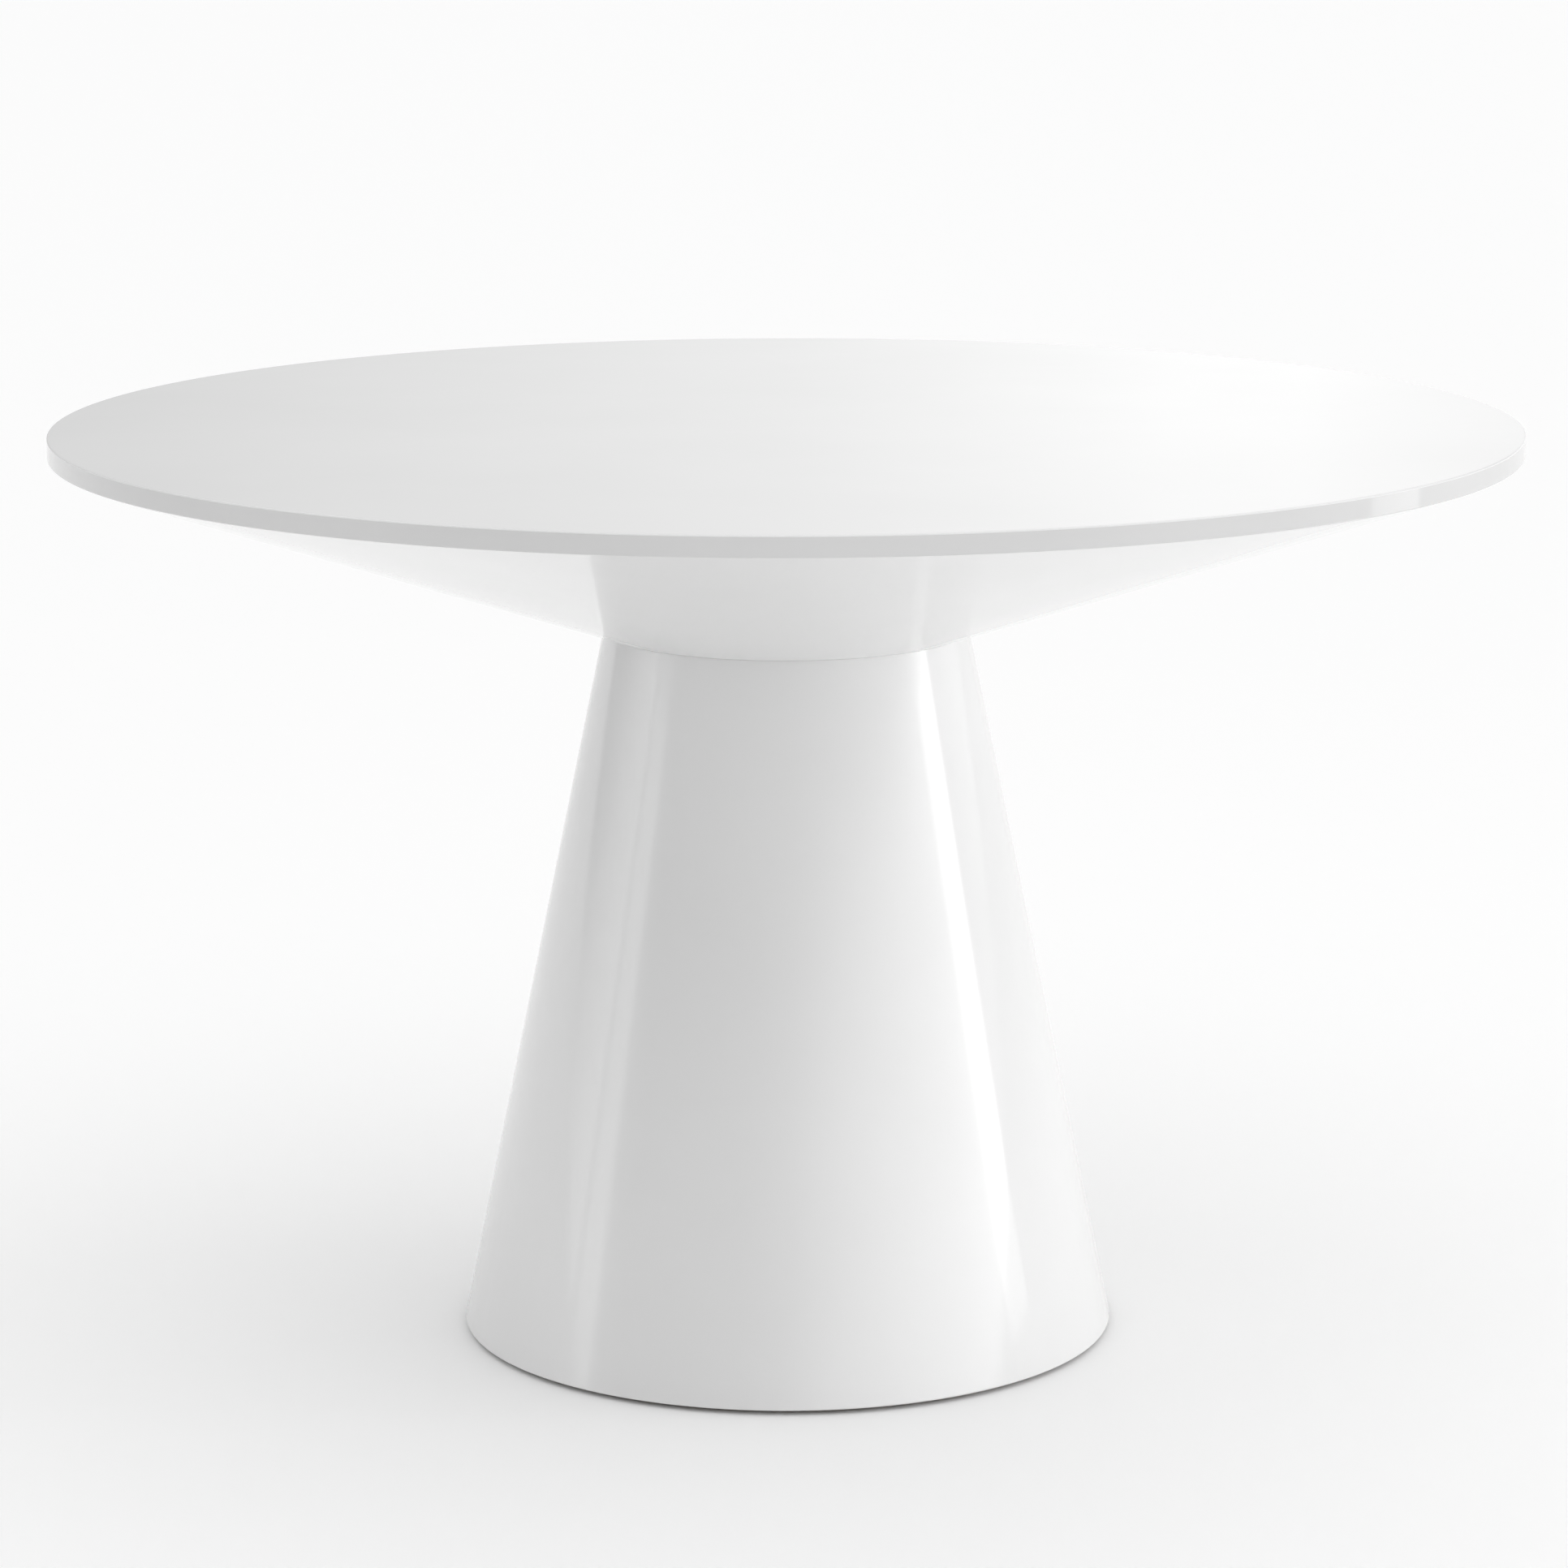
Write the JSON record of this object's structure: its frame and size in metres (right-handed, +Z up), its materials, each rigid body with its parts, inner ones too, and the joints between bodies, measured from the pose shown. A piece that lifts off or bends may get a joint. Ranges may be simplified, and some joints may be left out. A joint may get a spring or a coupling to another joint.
{
  "type": "round pedestal table",
  "caption": "Round dining table: a thin flat top over a shallow hollow cone, on one tapered round pedestal with hidden screw levellers.",
  "frame": {"origin": "on the floor under the middle of the table, levellers wound in", "axes": "+Z up, along the pedestal's axis; levellers lie on the diagonals between X and Y"},
  "size_m": [1.1998, 1.2, 0.76],
  "materials": {
    "white_lacquer": "high-gloss white lacquer on MDF",
    "raw_mdf": "sawn MDF, unfinished",
    "birch_plywood": "birch plywood, sanded, unfinished",
    "pine": "planed softwood",
    "beech": "turned beech",
    "zinc_steel": "bright zinc plate",
    "black_steel": "black primer on cut steel plate",
    "nylon": "moulded white nylon"
  },
  "bodies": {
    "table": {"table_top": "white_lacquer", "underside_skin": "white_lacquer", "neck_plate": "birch_plywood", "neck_inserts": "zinc_steel", "hub_drum": "raw_mdf", "drum_screws": "zinc_steel", "underside_rib_1": "raw_mdf", "underside_rib_2": "raw_mdf", "underside_rib_3": "raw_mdf", "underside_rib_4": "raw_mdf", "underside_rib_5": "raw_mdf", "underside_rib_6": "raw_mdf", "underside_rib_7": "raw_mdf", "underside_rib_8": "raw_mdf", "rib_dowels": "beech", "pedestal_shell": "white_lacquer", "head_plate": "birch_plywood", "middle_former": "birch_plywood", "base_ring": "birch_plywood", "batten_1": "pine", "batten_2": "pine", "batten_3": "pine", "batten_4": "pine", "batten_5": "pine", "batten_6": "pine", "batten_screws": "zinc_steel", "ballast_plate": "black_steel", "ballast_bolts": "zinc_steel", "ballast_washers": "zinc_steel", "base_inserts": "zinc_steel", "assembly_bolts": "zinc_steel", "flat_washers": "zinc_steel", "spring_washers": "zinc_steel"},
    "leveller_pad_1": {"leveller_pad_1": "nylon"},
    "leveller_stud_1": {"leveller_stud_1": "zinc_steel"},
    "leveller_pad_2": {"leveller_pad_2": "nylon"},
    "leveller_stud_2": {"leveller_stud_2": "zinc_steel"},
    "leveller_pad_3": {"leveller_pad_3": "nylon"},
    "leveller_stud_3": {"leveller_stud_3": "zinc_steel"},
    "leveller_pad_4": {"leveller_pad_4": "nylon"},
    "leveller_stud_4": {"leveller_stud_4": "zinc_steel"}
  },
  "joints": [
    {"name": "leveller_1_travel", "type": "slide", "parent": "table", "child": "leveller_pad_1", "axis": [0, 0, -1], "range_m": [0, 0.01]},
    {"name": "leveller_1_turn", "type": "hinge", "parent": "leveller_pad_1", "child": "leveller_stud_1", "pos_m": [0.16419, 0.16419, 0.0115], "axis": [0, 0, -1], "range_deg": [0, 2880]},
    {"name": "leveller_2_travel", "type": "slide", "parent": "table", "child": "leveller_pad_2", "axis": [0, 0, -1], "range_m": [0, 0.01]},
    {"name": "leveller_2_turn", "type": "hinge", "parent": "leveller_pad_2", "child": "leveller_stud_2", "pos_m": [-0.16419, 0.16419, 0.0115], "axis": [0, 0, -1], "range_deg": [0, 2880]},
    {"name": "leveller_3_travel", "type": "slide", "parent": "table", "child": "leveller_pad_3", "axis": [0, 0, -1], "range_m": [0, 0.01]},
    {"name": "leveller_3_turn", "type": "hinge", "parent": "leveller_pad_3", "child": "leveller_stud_3", "pos_m": [-0.16419, -0.16419, 0.0115], "axis": [0, 0, -1], "range_deg": [0, 2880]},
    {"name": "leveller_4_travel", "type": "slide", "parent": "table", "child": "leveller_pad_4", "axis": [0, 0, -1], "range_m": [0, 0.01]},
    {"name": "leveller_4_turn", "type": "hinge", "parent": "leveller_pad_4", "child": "leveller_stud_4", "pos_m": [0.16419, -0.16419, 0.0115], "axis": [0, 0, -1], "range_deg": [0, 2880]}
  ],
  "couplings": [
    {"joint": "leveller_1_turn", "follows": "leveller_1_travel", "rad_per_m": 5026.5},
    {"joint": "leveller_2_turn", "follows": "leveller_2_travel", "rad_per_m": 5026.5},
    {"joint": "leveller_3_turn", "follows": "leveller_3_travel", "rad_per_m": 5026.5},
    {"joint": "leveller_4_turn", "follows": "leveller_4_travel", "rad_per_m": 5026.5}
  ]
}
